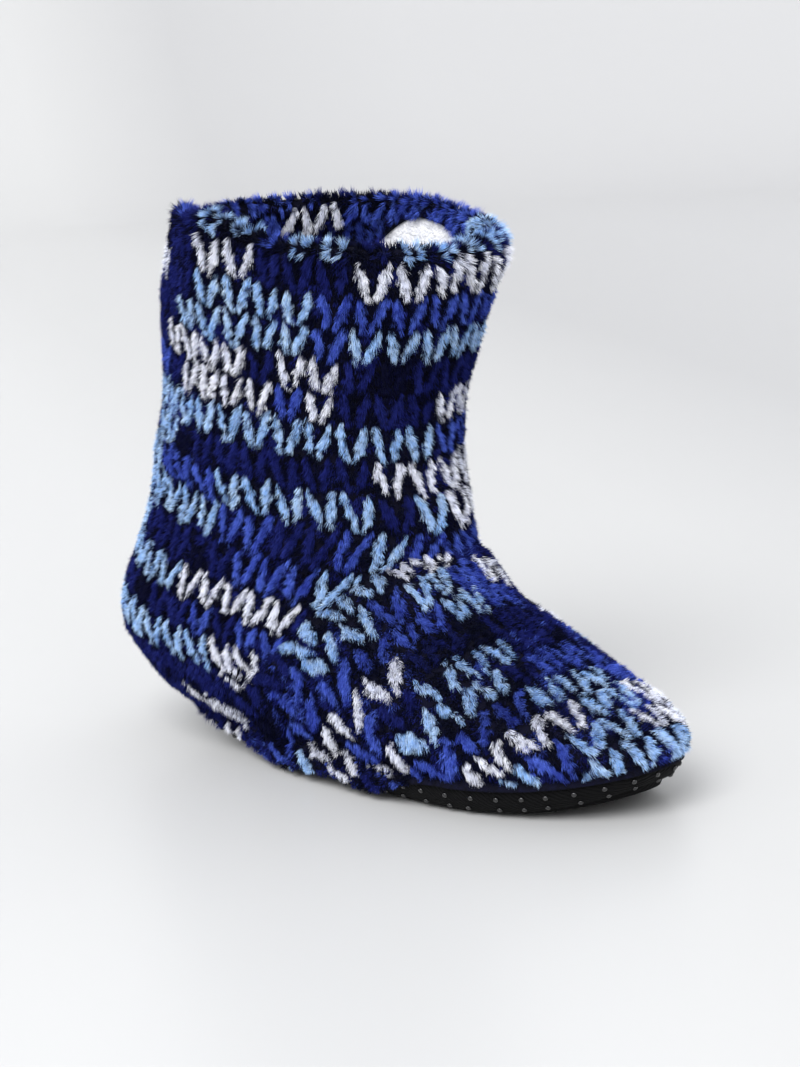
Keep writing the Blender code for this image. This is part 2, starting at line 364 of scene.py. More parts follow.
height = sheet[..., 2] / MM + ROW_TILT * (sheet[..., 0] / MM - 20.0)
leg_row = (FIRST_ROW_LEVEL - height) / LEG_ROW
leg_row += HEEL_ROWS * ease(leg_row, 8.0, 11.5)
over_rim = lengths(np.diff(sheet[rim_row:], axis=0)).cumsum(axis=0) / MM
leg_row[rim_row + 1:] = leg_row[rim_row] - over_rim / LEG_ROW


def along_vamp(points):
    """Row number along the vamp, and height above its slope in mm."""
    x, z = points[..., 0], points[..., 2]
    row = (VAMP_RUN[0] * x + VAMP_RUN[1] * z) / MM / STITCH_ROW
    return row, (-VAMP_RUN[1] * x + VAMP_RUN[0] * z) / MM


def on_vamp(points):
    """True ahead of the seam: below its slanting line, and below the throat."""
    x, z = points[..., 0] / MM, points[..., 2] / MM
    return (z < np.minimum(SEAM_LEVEL + SEAM_SLOPE * x, THROAT_LEVEL)) & (x > SEAM_FOOT)


vamp_points = outer_rows[on_vamp(outer_rows)]
run_marks = np.arange(-1.5, 9.0, 0.5)
vamp_sizes = []
for mark in run_marks:
    band = vamp_points[abs(along_vamp(vamp_points)[0] - mark) < 0.3]
    across, lift = abs(band[:, 1] - middle_line(band[:, 0])) / MM, along_vamp(band)[1]
    vamp_sizes.append((across.max(), lift.max(), lift.min()))


def vamp_place(points):
    """Column and row of points on the vamp, with column 0 on the ridge."""
    row, lift = along_vamp(points)
    half, crown, floor = (np.interp(row, run_marks, sizes) for sizes in zip(*vamp_sizes))
    side = (points[..., 1] - middle_line(points[..., 0])) / MM / half
    rise = np.maximum(lift - floor, 0.0) / np.maximum(crown - floor, 1.0)
    return np.arctan2(side, rise) * 0.5 * (half + crown - floor) / STITCH_WIDTH, row


print(f"leg columns 0..{leg_column.max():.1f}, leg rows {leg_row.min():.1f}..{leg_row.max():.1f}")

# %% [markdown]
# ## The chart of yarn colours
#
# A knitter writes a pattern as runs of one colour, row by row. This chart does the same in letters
# for navy, royal, light and white, with the runs read off the slipper. Stitches that no
# run names are navy or night, by a fixed rule, so they barely show against the dark ground.

# %% Colour runs
YARNS, LETTERS = ("night", "navy", "royal", "light", "white"), "-nrlw"
LEG_RUNS = """
-3: 2-5 r, 12-15 l, 17-20 l, 23-26 w
-2: 3-6 r, 8-10 n, 15-18 l, 18-22 r, 25-27 r
-1: 1-4 r, 6-8 l, 9-11 l, 12-18 l, 18-24 r, 26-28 n
0: 2-5 r, 6-8 l, 8-9 r, 9-11 l, 12-18 l, 18-24 r, 24-26 w, 26-27 r
1: 6-8 w, 11-17 w, 19-22 l, 25-28 r
2: 1-4 w, 6-10 l, 10-17 r, 20-23 w
3: 5-10 l, 10-11 r, 11-17 l, 18-20 w, 22-26 r
4: 4-8 w, 9-11 w, 17-21 r, 24-27 l
5: 1-4 r, 5-9 w, 9-10 r, 10-11 w, 14-16 w, 18-22 l
6: 0-14 l, 14-16 r, 17-19 r, 21-24 w, 26-28 l
7: 3-5 l, 12-17 w, 18-22 l, 24-26 r
8: 0-4 l, 4-7 r, 7-12 l, 13-14 l, 14-16 w, 20-24 r
9: 2-7 l, 7-9 r, 11-12 r, 12-13 l, 13-16 r, 19-23 l
10: 0-3 l, 8-11 r, 11-13 l, 16-19 w, 22-25 l
11: 0-6 l, 6-11 w, 17-20 r, 24-27 w
12: 7-8 r, 9-11 r, 19-22 r, 23-26 l
13: 2-8 l, 8-10 w, 20-24 w
14: 8-10 w, 19-22 l, 25-28 l
15: 5-7 w, 8-9 l, 17-20 r
16: 4-5 w, 6-8 l, 20-23 l
17: 2-5 r, 21-24 r
18: 0-3 r, 24-27 r
"""
VAMP_RUNS = """
-2: -10--3 l, -3--1 w, -1-1 l, 3-6 r, 6-9 l
-1: -6--3 l, -3-0 w, 4-8 w
0: -7--6 r, -6--4 l, -4--3 r, -3--1 l, -1-1 r, 1-3 w, 5-7 l
1: -8--2 r, -2-0 l, 0-2 r, 4-6 r
2: -9--7 l, -7--4 w, 3-5 w
3: -7--6 w, -6--5 r, -4--1 l, 3-5 l
4: -6--5 w, -5--2 l, -1-2 r, 4-6 r
5: -6--2 r, -2-1 l, 1-4 r
6: -5--1 w, -1-1 l, 1-4 w
7: -5--3 l, -3--2 r, -2-0 l, 0-2 w, 2-5 l
8: -4-4 l
9: -3-3 l
"""


def read_runs(text):
    """The chart as row -> list of (first column, end column, yarn number)."""
    chart = {}
    for line in text.strip().splitlines():
        row, _, runs = line.partition(": ")
        for run in runs.split(", "):
            span, letter = run.split(" ")
            at = span.index("-", 1)
            chart.setdefault(int(row), []).append(
                (int(span[:at]), int(span[at + 1:]), LETTERS.index(letter)))
    return chart


def yarn_of(chart, row, column):
    """Yarn number of each stitch, given its whole row and column numbers."""
    yarn = np.where((row * 7 + column * 3) % 8 == 0, 0, 1)
    for chart_row, runs in chart.items():
        for first, end, number in runs:
            yarn[(row == chart_row) & (column >= first) & (column < end)] = number
    return yarn


leg_chart, vamp_chart = read_runs(LEG_RUNS), read_runs(VAMP_RUNS)
for label, chart in (("leg", leg_chart), ("vamp", vamp_chart)):
    print(f"{label}: {sum(map(len, chart.values()))} runs in {len(chart)} rows")

# %% [markdown]
# ## The leaf-shaped arms of a V
#
# A stitch is two arms that start wide apart at the top and meet below. Every arm is a leaf of
# longer, coloured fibres on a short, nearly black ground. This step says for any point of the
# cloth which arm it is in, if any, and how close it is to the arm's middle.

# %% Stitch arms
ARM_TOP, ARM_FOOT, ARM_HEIGHT, ARM_HALF_WIDTH = 4.9, 1.8, 10.6, 1.36
ARM_PHASE, VAMP_PHASE, TIP_SHIFT, OUTSIDE = 0.62, 0.5, 1.5, -9.0


def wobble(points, size, seed):
    """A smooth random number from -1 to 1 at each point, changing over about this size."""
    rng = np.random.default_rng(seed)
    total = np.zeros(points.shape[:-1])
    for _ in range(6):
        wave = rng.normal(size=3) * 2.2 / size
        total += np.sin(points @ wave + rng.uniform(0, 2 * np.pi))
    return total / 3.5


def arm_at(column, row, chart, phase, fullness=1.0):
    """Yarn, leaf share (1 in an arm's middle, 0 at its edge) and side of the arm."""
    best, yarn = np.full(column.shape, OUTSIDE), np.zeros(column.shape, int)
    whole = np.floor(column - phase + 0.5)
    across = (column - phase - whole) * STITCH_WIDTH
    for step in (-1, 0, 1):
        stitch_row = np.round(row) + step
        down = ((row - stitch_row) * STITCH_ROW + TIP_SHIFT) / ARM_HEIGHT + 0.5
        inside = np.clip(down, 0, 1)
        middle_of_arm = ARM_TOP + (ARM_FOOT - ARM_TOP) * inside
        width = fullness * ARM_HALF_WIDTH * np.sin(np.pi * (0.05 + 0.90 * inside))**0.7
        leaf = 1 - abs(abs(across) - middle_of_arm) / width
        leaf = np.where((down > 0.0) & (down < 1.0), leaf, OUTSIDE)
        found = yarn_of(chart, stitch_row.astype(int), whole.astype(int))
        better = leaf > best
        best, yarn = np.where(better, leaf, best), np.where(better, found, yarn)
    return yarn, best, np.sign(across)


# %% [markdown]
# ## Sowing the pile
#
# Real plush has too many fibres to model one by one, so each point sown here carries one small
# tuft. A cell of the sheet gets points by its area, more in the arms and fewer on the ground.
# Each point keeps what its tuft needs: its lean, its length and its place in the palette.

# %% Sow the tufts
PER_CELL, FLOOR_GAP, LEAST_REACH, EDGE_BARE = 3, 0.4 * MM, 0.8 * MM, 2 * MM
# In these pairs the first number is for the ground and the second for the arms.
DENSITY, UPRIGHT, BRUSHED, GIRTH = (0.46, 1.4), (0.85, 0.60), (0.5, 0.84), (1.25, 0.86)
GROUND_REACH, ARM_REACH = 2.5, 3.9
INSTEP_END, HEEL_START, FRONT_COLUMNS = 2.2, 9.0, (6.5, 20.5)
rng = np.random.default_rng(20)
rim_place = leg_row[rim_row].mean()


def closed(grid):
    return np.concatenate([grid, grid[:, :1]], axis=1)


def strayed(number, warp, size, seed, smooth, chance):
    return number + smooth * wobble(warp, size, seed) + rng.normal(0, chance, len(number))


def sow(first, end):
    """Sows points on the rows from first to end, and works out what each tuft is like."""
    fields = np.concatenate([closed(sheet), closed(sheet_normals), leg_column[..., None],
                             closed(leg_row)[..., None]], axis=2)[first:end]
    corner = fields[:-1, :-1, :3]
    area = lengths(np.cross(fields[1:, :-1, :3] - corner, fields[:-1, 1:, :3] - corner)) / MM**2
    parts = []
    for _ in range(PER_CELL):
        s, t = rng.uniform(size=(2, *area.shape, 1))
        below, above = (side[:, :-1] * (1 - s) + side[:, 1:] * s
                        for side in (fields[:-1], fields[1:]))
        parts.append((below * (1 - t) + above * t).reshape(-1, 8))
    sown = np.concatenate(parts)
    share = np.tile(area.ravel() / PER_CELL, PER_CELL)
    place, normal, column, row = sown[:, :3], unit(sown[:, 3:6]), sown[:, 6], sown[:, 7]

    # Where each point is in the pattern.
    warp, count = place / MM, len(row)
    column = strayed(column, warp, 9.0, 1, 0.045, 0.018)
    row = strayed(row, warp, 11.0, 2, 0.06, 0.03)
    v_column, v_row = vamp_place(place)
    v_column = strayed(v_column, warp, 9.0, 3, 0.09, 0.02)
    v_row = strayed(v_row, warp, 11.0, 4, 0.13, 0.03)
    vamp = on_vamp(place) & (first == 0)
    yarn, leaf, side = (np.where(vamp, *pair) for pair in zip(
        arm_at(v_column, v_row, vamp_chart, VAMP_PHASE, 1.05),
        arm_at(column, row, leg_chart, ARM_PHASE)))
    in_arm = leaf > 0.0
    density, upright, brushed, girth = (np.where(in_arm, arm, ground) for ground, arm in
                                        (DENSITY, UPRIGHT, BRUSHED, GIRTH))

    # Whether it is kept, and which way its tuft leans.
    kept = rng.uniform(size=count) < share * density
    along = foot_share(place[:, 0])
    over_sole = place[:, 2] - sole_top(place[:, 0])
    on_rim = np.exp(-((row - rim_place) / 0.42)**2)
    on_edge = ease(along, 0.55, 0.7) * (1 - ease(over_sole, MM, 5 * MM))
    hanging = 1 - ease(along, 0.52, 0.74)
    kept &= over_sole > EDGE_BARE - (EDGE_BARE + DROOP + 2 * MM) * hanging
    flow = np.where(vamp[:, None], [VAMP_RUN[0], 0.0, VAMP_RUN[1]], [-ROW_TILT, 0.0, -1.0])
    inside = (first > 0) & (row < leg_row[rim_row].min() - 0.3)
    flow = np.where(inside[:, None], -flow, flow)
    down = unit(flow - (flow * normal).sum(axis=1, keepdims=True) * normal)
    fan = np.where(in_arm, side * (0.05 - 0.30 * np.clip(leaf, 0, 1)), 0.0)
    tangent = down * brushed[:, None] + np.cross(normal, down) * fan[:, None]
    tangent = tangent * (1 - 0.75 * np.maximum(on_rim, on_edge)[:, None])
    spread = rng.normal(0, 0.16, (count, 3))
    lean = unit(normal * upright[:, None] + tangent + spread)

    # Its length in the leaf, on the ground and near the floor, and its colour.
    reach = np.where(in_arm, ARM_REACH * (0.78 + 0.22 * np.clip(leaf * 2, 0, 1)), GROUND_REACH)
    reach = reach * (1 + 0.25 * on_rim - 0.2 * on_edge) * rng.uniform(0.85, 1.12, count) * MM
    room = (place[:, 2] - FLOOR_GAP) / np.maximum(-lean[:, 2], 0.05)
    reach = np.minimum(reach, np.where(lean[:, 2] < 0.0, room, 1.0))
    below_edge = place[:, 2] < SOLE_THICKNESS - MM
    reach = np.maximum(reach, LEAST_REACH) * (1 - 0.45 * below_edge)
    cloud = wobble(warp, 13.0, 8) + rng.normal(0, 0.45, count)
    mixed = np.select([vamp & (cloud > 0.95), cloud > np.where(vamp, 0.3, 0.6)], [2, 1], 0)
    shade = np.clip(0.5 + 0.34 * wobble(warp, 5.0, 5) + rng.normal(0, 0.2, count), 0, 1)
    tint = (np.where(in_arm, yarn, mixed) + 0.3 + 0.4 * shade) / len(YARNS)
    heel, front = row > HEEL_START, (column > FRONT_COLUMNS[0]) & (column < FRONT_COLUMNS[1])
    region = np.select([np.full(count, first > 0), vamp & (v_row < INSTEP_END), vamp,
                        heel & (column < LEG_COLUMNS), heel, front], list(range(6)), 6)
    made = dict(place=place, lean=lean, reach=reach, tint=tint, region=region, in_arm=in_arm,
                girth=girth, spin=rng.uniform(0, 2 * np.pi, count),
                kind=rng.integers(0, 3, count))
    return {name: values[kept] for name, values in made.items()}


rolled = len(outer_rows) + len(roll_rows)
batches = [sow(0, rolled), sow(rolled - 1, len(sheet))]
tufts = {name: np.concatenate([batch[name] for batch in batches]) for name in batches[0]}
print(f"{len(tufts['reach'])} tufts, {tufts['in_arm'].mean():.0%} of them in the arms")

# %% [markdown]
# ## Yarn and cloth finishes
#
# The pile's colour comes from its own UV map: across is the tuft's place in the palette, and up
# is the place along the fibre. One colour ramp reads the yarn, and another paints shade on the
# fibre towards its root, where deep pile lies in shade. Sheen gives the pale bloom at the edges.

# %% Materials
YARN_SHADES = (("020310", "090d38"), ("0f1458", "26307e"), ("202c9a", "6482ea"),
               ("78aeee", "dcf0ff"), ("e6ebff", "ffffff"))
# Painted shade: the fibre's colour darkens towards its root.
ROOT_PAINTED_SHADE = ((0.0, "484854"), (0.25, "b0b0ba"), (0.55, "ffffff"))


def linear(code):
    """A colour written as in a paint chart, in the linear values that a shader takes."""
    values = [int(code[n:n + 2], 16) / 255.0 for n in (0, 2, 4)]
    return [v / 12.92 if v <= 0.04045 else ((v + 0.055) / 1.055)**2.4 for v in values] + [1.0]


def fill(tree, target, inputs):
    """Links each named input of a node from a socket, or else gives it a constant."""
    for key, value in inputs.items():
        if isinstance(value, bpy.types.NodeSocket):
            tree.links.new(value, target.inputs[key])
        else:
            target.inputs[key].default_value = value


def node(tree, kind, inputs, **settings):
    """The outputs of a new node, with its settings made and then its inputs filled."""
    made = tree.nodes.new(kind)
    for key, value in settings.items():
        setattr(made, key, value)
    fill(tree, made, inputs)
    return made.outputs


def new_material(name, inputs_of, *details):
    """A material whose shader is filled with what a function makes in its tree."""
    made = bpy.data.materials.new(name)
    made.use_nodes = True
    tree = made.node_tree
    fill(tree, tree.nodes["Principled BSDF"], inputs_of(tree, *details))
    return made


def ramp(tree, factor, stops):
    made = tree.nodes.new("ShaderNodeValToRGB")
    elements = made.color_ramp.elements
    while len(elements) < len(stops):
        elements.new(0.5)
    for element, (at, colour) in zip(elements, stops):
        element.position, element.color = at, linear(colour)
    tree.links.new(factor, made.inputs["Fac"])
    return made.outputs["Color"]


def spot(tree):
    return node(tree, "ShaderNodeTexCoord", {})["Object"]


def noise(tree, scale, detail=2.0):
    inputs = {"Vector": spot(tree), "Scale": scale, "Detail": detail}
    return node(tree, "ShaderNodeTexNoise", inputs)["Fac"]


def bump(tree, height, strength, distance):
    inputs = {"Height": height, "Strength": strength, "Distance": distance}
    return node(tree, "ShaderNodeBump", inputs)["Normal"]


def plush_pile(tree):
    uv = node(tree, "ShaderNodeUVMap", {}, uv_map="OFBake")["UV"]
    at = node(tree, "ShaderNodeSeparateXYZ", {"Vector": uv})
    stops = [((number + edge) / len(YARNS), code) for number, pair in enumerate(YARN_SHADES)
             for edge, code in zip((0.1, 0.9), pair)]
    # B multiplies in the painted shade towards the fibre's root.
    mixed = {"Factor": 1.0, "A": ramp(tree, at["X"], stops), "B": ramp(tree, at["Y"], ROOT_PAINTED_SHADE)}
    colour = node(tree, "ShaderNodeMix", mixed, data_type="RGBA", blend_type="MULTIPLY")["Result"]
    return {"Base Color": colour, "Roughness": 0.85, "Specular IOR Level": 0.1,
            "Sheen Weight": 0.05, "Sheen Roughness": 0.4, "Sheen Tint": (0.45, 0.55, 1.0, 1.0)}


def cloth(tree, deep, pale, grain, strength, sheen):
    """A soft mottle and a fine nap, both read from the object's own coordinates."""
    mottle, nap = noise(tree, 1.0 / (grain * 3.0), 5.0), noise(tree, 1.0 / grain, 3.0)
    return {"Base Color": ramp(tree, mottle, [(0.3, deep), (0.7, pale)]), "Roughness": 0.95,
            "Normal": bump(tree, nap, strength, grain), "Sheen Weight": sheen,
            "Specular IOR Level": 0.15}


plush = new_material("plush pile", plush_pile)
backing = new_material("plush backing", cloth, "03030c", "090a20", 0.6 * MM, 0.8, 0.0)
fleece = new_material("white fleece", cloth, "dcdde4", "f7f7fa", 1.3 * MM, 0.9, 0.3)
print("yarns:", ", ".join(YARNS))

# %% [markdown]
# ## A tuft, and the nodes that plant it
#
# A tuft is a dozen thin blades, each one triangle. Three tufts with different random numbers are
# enough, because each is turned and stretched. Geometry Nodes puts one on every sown point,
# makes the copies real, writes the UV map and gives the material.

# %% Tuft templates
BLADES, TUFT_RADIUS, BLADE_WIDTH, BLADE_SHADE = 12, 0.6, 0.39, 0.036


def placed(name, data):
    """A new object in the scene for a mesh, a lamp or a camera."""
    made = bpy.data.objects.new(name, data)
    bpy.context.scene.collection.objects.link(made)
    return made


def mesh_object(name, points, faces, finish=None, smooth=False):
    mesh = bpy.data.meshes.new(name)
    mesh.from_pydata([tuple(point) for point in points], [], faces)
    if finish:
        mesh.materials.append(finish)
    if smooth:
        mesh.shade_smooth()
    return placed(name, mesh)


def level(turn, length):
    return np.array([length * math.cos(turn), length * math.sin(turn), 0.0])


def tuft_template(name, seed):
    draw = np.random.default_rng(seed)
    points, blade = [], []
    for number in range(BLADES):
        turn = 2 * np.pi * (number + draw.uniform(-0.4, 0.4)) / BLADES
        foot = level(turn, TUFT_RADIUS * math.sqrt(draw.uniform(0.05, 1.0)) * MM)
        face_turn = draw.uniform(0.0, np.pi)
        across = level(face_turn, 0.5 * BLADE_WIDTH * draw.uniform(0.8, 1.15) * MM)
        tip = foot + (foot * draw.uniform(0.7, 1.5) + draw.normal(0, 0.16 * MM, 3))
        tip[2] = draw.uniform(0.72, 1.08)
        points += [foot - across, foot + across, tip]
        blade += [draw.uniform(-BLADE_SHADE, BLADE_SHADE)] * 3
    made = mesh_object(name, points, np.arange(3 * BLADES).reshape(-1, 3).tolist())
    for label, values in (("along", [0.0, 0.0, 1.0] * BLADES), ("blade", blade)):
        made.data.attributes.new(label, "FLOAT", "POINT").data.foreach_set("value", values)
    return made


templates = [tuft_template(f"tuft_{name}", seed) for name, seed in (("a", 3), ("b", 5), ("c", 8))]
print(f"{len(templates)} tufts of {BLADES} blades")

# %% Planting nodes
def new_tree(name, inputs):
    """A Geometry Nodes tree with these inputs after its geometry, and their sockets."""
    tree = bpy.data.node_groups.new(name, "GeometryNodeTree")
    for label, kind in {"Geometry": "Geometry", **inputs}.items():
        tree.interface.new_socket(label, in_out="INPUT", socket_type="NodeSocket" + kind)
    tree.interface.new_socket("Geometry", in_out="OUTPUT", socket_type="NodeSocketGeometry")
    return tree, tree.nodes.new("NodeGroupInput").outputs


def named(tree, attribute, kind="FLOAT"):
    inputs = {"Name": attribute}
    return node(tree, "GeometryNodeInputNamedAttribute", inputs, data_type=kind)["Attribute"]


def facing(tree, attribute):
    """The rotation that turns an upright thing to the way an attribute points."""
    way = named(tree, attribute, "FLOAT_VECTOR")
    return node(tree, "FunctionNodeAlignRotationToVector", {"Vector": way}, axis="Z")["Rotation"]


def real(tree, instances):
    return node(tree, "GeometryNodeRealizeInstances", {"Geometry": instances})["Geometry"]


def finished(tree, geometry, finish):
    done = node(tree, "GeometryNodeSetMaterial", {"Geometry": geometry, "Material": finish})
    node(tree, "NodeGroupOutput", {"Geometry": done["Geometry"]})
    return tree


def planting_tree():
    tree, given = new_tree("plant tufts", {"Tuft A": "Object", "Tuft B": "Object",
                                           "Tuft C": "Object", "Finish": "Material"})
    gather = tree.nodes.new("GeometryNodeJoinGeometry")
    for label in ("Tuft C", "Tuft B", "Tuft A"):
        info = node(tree, "GeometryNodeObjectInfo", {"Object": given[label], "As Instance": True})
        tree.links.new(info["Geometry"], gather.inputs["Geometry"])
    spin = {"Axis": (0.0, 0.0, 1.0), "Angle": named(tree, "spin")}
    spin = node(tree, "FunctionNodeAxisAngleToRotation", spin)["Rotation"]
    turned = {"Rotation": facing(tree, "lean"), "Rotate By": spin}
    turned = node(tree, "FunctionNodeRotateRotation", turned, rotation_space="LOCAL")
    girth = named(tree, "girth")
    size = {"X": girth, "Y": girth, "Z": named(tree, "reach")}
    plants = node(tree, "GeometryNodeInstanceOnPoints", {
        "Points": given["Geometry"], "Instance": gather.outputs["Geometry"],
        "Pick Instance": True, "Instance Index": named(tree, "kind", "INT"),
        "Rotation": turned["Rotation"],
        "Scale": node(tree, "ShaderNodeCombineXYZ", size)["Vector"]})
    shade = {0: named(tree, "tint"), 1: named(tree, "blade")}
    uv = {"X": node(tree, "ShaderNodeMath", shade)["Value"], "Y": named(tree, "along")}
    stored = {"Geometry": real(tree, plants["Instances"]), "Name": "OFBake",
              "Value": node(tree, "ShaderNodeCombineXYZ", uv)["Vector"]}
    stored = node(tree, "GeometryNodeStoreNamedAttribute", stored, data_type="FLOAT2",
                  domain="CORNER")
    return finished(tree, stored["Geometry"], given["Finish"])


def made_plain(source, name):
    """The evaluated object as a plain mesh, in place of its source."""
    graph = bpy.context.evaluated_depsgraph_get()
    mesh = bpy.data.meshes.new_from_object(source.evaluated_get(graph))
    mesh.name = name
    bpy.data.objects.remove(source, do_unlink=True)
    return placed(name, mesh)


def grown(name, points, layers, tree, inputs):
    """Points with attributes that a tree grows into a piece. Its inputs are set by identifier."""
    source = mesh_object(name + "_points", points, [])
    for key, values in layers.items():
        kind = "INT" if values.dtype.kind == "i" else "FLOAT"
        kind, field = ("FLOAT_VECTOR", "vector") if values.ndim == 2 else (kind, "value")
        layer = source.data.attributes.new(key, kind, "POINT")
        layer.data.foreach_set(field, values.ravel())
    modifier = source.modifiers.new("grow", "NODES")
    modifier.node_group = tree
    for item in tree.interface.items_tree:
        if item.in_out == "INPUT" and item.name in inputs:
            modifier[item.identifier] = inputs[item.name]
    made = made_plain(source, name)
    for key in (*layers, "along", "blade"):
        if key in made.data.attributes:
            made.data.attributes.remove(made.data.attributes[key])
    return made


TUFT_LAYERS = ("lean", "reach", "girth", "spin", "tint", "kind")
PILE_PIECES = ("plush_facing", "plush_instep", "plush_toe", "plush_outer_heel",
               "plush_inner_heel", "plush_shaft_front", "plush_shaft_back")
plant_tufts, pile = planting_tree(), []
plant_inputs = dict(zip(("Tuft A", "Tuft B", "Tuft C"), templates), Finish=plush)
for number, name in enumerate(PILE_PIECES):
    chosen = tufts["region"] == number
    layers = {key: tufts[key][chosen] for key in TUFT_LAYERS}
    pile.append(grown(name, tufts["place"][chosen], layers, plant_tufts, plant_inputs))
    print(f"{name}: {chosen.sum()} tufts, {len(pile[-1].data.polygons)} blades")
for template in templates:
    bpy.data.objects.remove(template, do_unlink=True)

# %% [markdown]
# ## The cloth under the pile
#
# Without cloth behind it the pile would show daylight. The cloth is the sheet itself with a thin
# wall, dark as the ground yarn, in two pieces, as the CAD model has the upper and its facing.

# %% Backing cloth
CLOTH_WALL = 0.8 * MM


def ring_faces(rows, count):
    """Quads between neighbouring rings, each of count points."""
    return [(low + n, low + (n + 1) % count, low + count + (n + 1) % count, low + count + n)
            for low in range(0, (rows - 1) * count, count) for n in range(count)]


def lathe(profile, count):
    """Rings of points round the upright axis, one for each radius and level."""
    return [(radius * math.cos(a), radius * math.sin(a), level)
            for radius, level in profile for a in full_turn(count)]


def grid_object(name, grid, finish, step=2):
    """A smooth tube from every step-th row and column of a grid of rings."""
    rows = sorted({*range(0, len(grid), step), len(grid) - 1})
    rings = grid[rows][:, ::step]
    return mesh_object(name, rings.reshape(-1, 3), ring_faces(*rings.shape[:2]), finish, True)


def walled(made, thickness):
    """Gives a sheet its wall, as a plain mesh."""
    name = made.name
    made.name = name + "_sheet"
    wall = made.modifiers.new("wall", "SOLIDIFY")
    wall.thickness, wall.offset = thickness, -1.0
    return made_plain(made, name)


upper_cloth = walled(grid_object("upper_cloth", sheet[:rolled], backing), CLOTH_WALL)
facing_cloth = walled(grid_object("facing_cloth", sheet[rolled - 1:], backing), CLOTH_WALL)
print("backing cloth:", len(upper_cloth.data.polygons) + len(facing_cloth.data.polygons), "faces")

# %% [markdown]
# ## The white fleece lining
#
# White fleece lines the slipper from the facing down to the insole. It is a sheet that faces
# inwards, with a soft lumpy nap.

# %% Lining
LINING_DEPTH, LINING_WALL = 5.6 * MM, 1.2 * MM
lining_grid = creased - creased_normals * LINING_DEPTH
lining_top = np.clip(facing_depths - 3 * MM, 6.5 * MM, 16 * MM)
lining_grid = wall_at(lining_grid, [lining_top + (wall_length.min() - 6 * MM - lining_top) * share
                                    for share in np.linspace(0, 1.0, 90)])
nap = wobble(lining_grid / MM, 3.0, 6) * 0.25 * MM + wobble(lining_grid / MM, 8.0, 7) * 0.3 * MM
lining_grid = lining_grid + outward(lining_grid) * nap[..., None]
lining = walled(grid_object("fleece_lining", lining_grid[::-1], fleece), LINING_WALL)
print("lining:", len(lining.data.polygons), "faces")

# %% [markdown]
# ## The padded sole
#
# The sole is a pad of black ribbed cloth. Its side slopes in under the edge and puckers a little
# where the upper is sewn on. It is built as rings that run from the spine of the top face, over
# the side, to the spine of the bottom.

# %% Sole
SOLE_COLUMNS, SPINE_LENGTH, DOT_STAND = 240, 0.72, 0.8 * MM
# Pairs of how far the side goes in and down, as shares of the tuck and the thickness.
SOLE_SIDE = ((0.0, 0.0), (0.02, 0.25), (0.14, 0.50), (0.36, 0.74), (0.66, 0.93), (1.0, 1.0))
PUCKER_COUNT, PUCKER, RIB_PITCH, RIB_HEIGHT = 150, 0.22 * MM, 1.25 * MM, 0.35 * MM
HEEL_CURL, HEEL_CURL_END = 5.5 * MM, 0.26
TOE_CURL, TOE_CURL_START = 2.6 * MM, 0.84


def curl(x):
    """How much the pad thins and lifts at its two ends, most at the heel."""
    share = foot_share(x)
    heel = HEEL_CURL * np.clip(1 - share / HEEL_CURL_END, 0, 1)**1.5
    toe = np.clip((share - TOE_CURL_START) / (1 - TOE_CURL_START), 0, 1)
    return heel + TOE_CURL * toe**1.5


def floor_level(x):
    return DOT_STAND + sole_rise(foot_share(x)) + curl(x)


def drawn_in(ring, share, level):
    """A ring drawn in towards its spine, which is a shortened middle line."""
    centre = 0.5 * (ring[:, 0].min() + ring[:, 0].max())
    x = centre + (ring[:, 0] - centre) * SPINE_LENGTH
    y = 0.5 * (ring[:, 1] + ring[-np.arange(len(ring)), 1])
    ring = ring.copy()
    ring[:, :2] += (np.stack([x, y], axis=1) - ring[:, :2]) * share
    ring[:, 2] = level(ring, share)
    return ring


def pad_object(name, side, top, bottom, shares, finish):
    """A closed pad from its side's rings and its faces' levels, with the spines merged."""
    grid = np.stack([drawn_in(side[0], share, top) for share in shares] + side[1:-1]
                    + [drawn_in(side[-1], share, bottom) for share in shares[::-1]])
    made = grid_object(name, grid[::-1], finish, step=1)
    work = bmesh.new()
    work.from_mesh(made.data)
    bmesh.ops.remove_doubles(work, verts=work.verts, dist=0.02 * MM)
    bmesh.ops.holes_fill(work, edges=[e for e in work.edges if e.is_boundary], sides=8)
    bmesh.ops.recalc_face_normals(work, faces=work.faces)
    work.to_mesh(made.data)
    work.free()
    made.data.shade_smooth()
    print(name, "has", len(made.data.polygons), "faces")
    return made


def ribbed_cloth(tree):
    """Black, with fine slanting ribs, and painted shade that darkens their troughs."""
    slant = node(tree, "ShaderNodeMapping", {"Vector": spot(tree), "Rotation": (0.35, 0.5, 0.6)})
    ribs = {"Vector": slant["Vector"], "Distortion": 0.6, "Scale": 0.314 / RIB_PITCH}
    ribs = node(tree, "ShaderNodeTexWave", ribs, bands_direction="X")["Fac"]
    rough = {0: noise(tree, 1.0 / (0.5 * MM)), 1: 0.3, 2: ribs}
    rough = node(tree, "ShaderNodeMath", rough, operation="MULTIPLY_ADD")["Value"]
    # The colour follows the ribs' height: painted shade in the troughs.
    return {"Base Color": ramp(tree, ribs, [(0.0, "010102"), (1.0, "0a0a0c")]), "Roughness": 0.8,
            "Normal": bump(tree, rough, 0.9, RIB_HEIGHT), "Specular IOR Level": 0.12}


